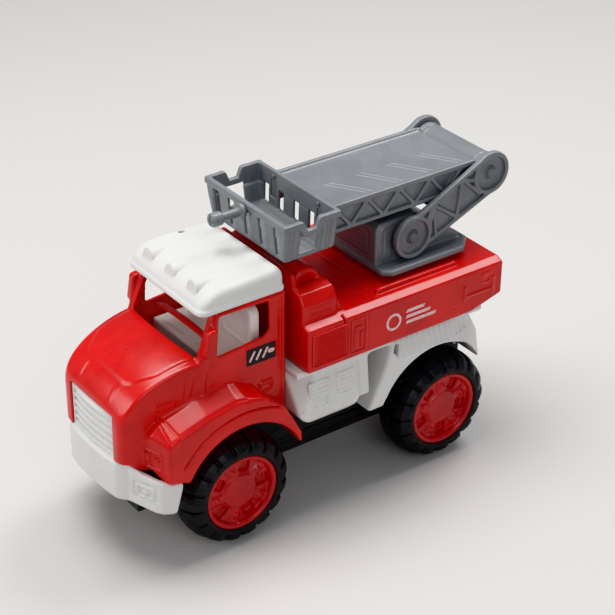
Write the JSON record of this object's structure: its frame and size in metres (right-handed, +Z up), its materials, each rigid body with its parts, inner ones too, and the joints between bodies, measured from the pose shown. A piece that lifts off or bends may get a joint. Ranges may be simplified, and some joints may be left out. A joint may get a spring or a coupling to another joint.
{
  "type": "toy fire engine",
  "caption": "Toy fire engine with free-rolling wheels, a swivelling turntable and a two-part arm that lifts a rescue basket.",
  "frame": {"origin": "on the ground, under the middle of the whole truck's box", "axes": "+Z up, the cab faces -Y, +X to the truck's left side"},
  "size_m": [0.0972, 0.2506, 0.1706],
  "materials": {
    "red_plastic": "glossy moulded polypropylene",
    "white_plastic": "satin moulded polypropylene",
    "grey_plastic": "satin moulded polypropylene",
    "black_plastic": "matte moulded plastic",
    "tyre": "glossy soft plastic with moulded lugs",
    "steel": "bright zinc-plated steel",
    "black_sticker": "printed film",
    "pale_print": "pad-printed ink"
  },
  "bodies": {
    "truck": {"chassis_pan": "black_plastic", "axle_keepers": "black_plastic", "chassis_screws": "steel", "underframe": "white_plastic", "bumper_grille": "white_plastic", "cab_shell": "red_plastic", "cab_roof": "white_plastic", "seat_bench": "white_plastic", "door_plates": "black_sticker", "rear_body": "red_plastic", "side_stickers": "pale_print"},
    "front_wheels": {"front_axle": "steel", "front_left_tyre": "tyre", "front_right_tyre": "tyre", "front_left_rim": "red_plastic", "front_right_rim": "red_plastic"},
    "rear_wheels": {"rear_axle": "steel", "rear_left_tyre": "tyre", "rear_right_tyre": "tyre", "rear_left_rim": "red_plastic", "rear_right_rim": "red_plastic"},
    "turntable": {"turntable": "grey_plastic", "turntable_washer": "steel", "turntable_screw": "steel", "arm_pins": "grey_plastic"},
    "lower_arm": {"lower_arm": "grey_plastic", "elbow_pins": "grey_plastic"},
    "boom": {"boom": "grey_plastic", "basket": "grey_plastic", "basket_pins": "grey_plastic", "water_nozzle": "grey_plastic"}
  },
  "joints": [
    {"name": "front_wheels_spin", "type": "hinge", "parent": "truck", "child": "front_wheels", "pos_m": [0, -0.063, 0.032], "axis": [1, 0, 0], "continuous": true},
    {"name": "rear_wheels_spin", "type": "hinge", "parent": "truck", "child": "rear_wheels", "pos_m": [0, 0.072, 0.032], "axis": [1, 0, 0], "continuous": true},
    {"name": "turntable_swivel", "type": "hinge", "parent": "truck", "child": "turntable", "pos_m": [0, 0.069, 0.1155], "axis": [0, 0, 1], "continuous": true},
    {"name": "arm_lift", "type": "hinge", "parent": "turntable", "child": "lower_arm", "pos_m": [0, 0.0605, 0.1352], "axis": [1, 0, 0], "range_deg": [0, 80]},
    {"name": "boom_lift", "type": "hinge", "parent": "lower_arm", "child": "boom", "pos_m": [0, 0.113, 0.1582], "axis": [1, 0, 0], "range_deg": [-140, 0]}
  ],
  "couplings": [
    {"joint": "boom_lift", "follows": "arm_lift", "ratio": -1.75}
  ]
}
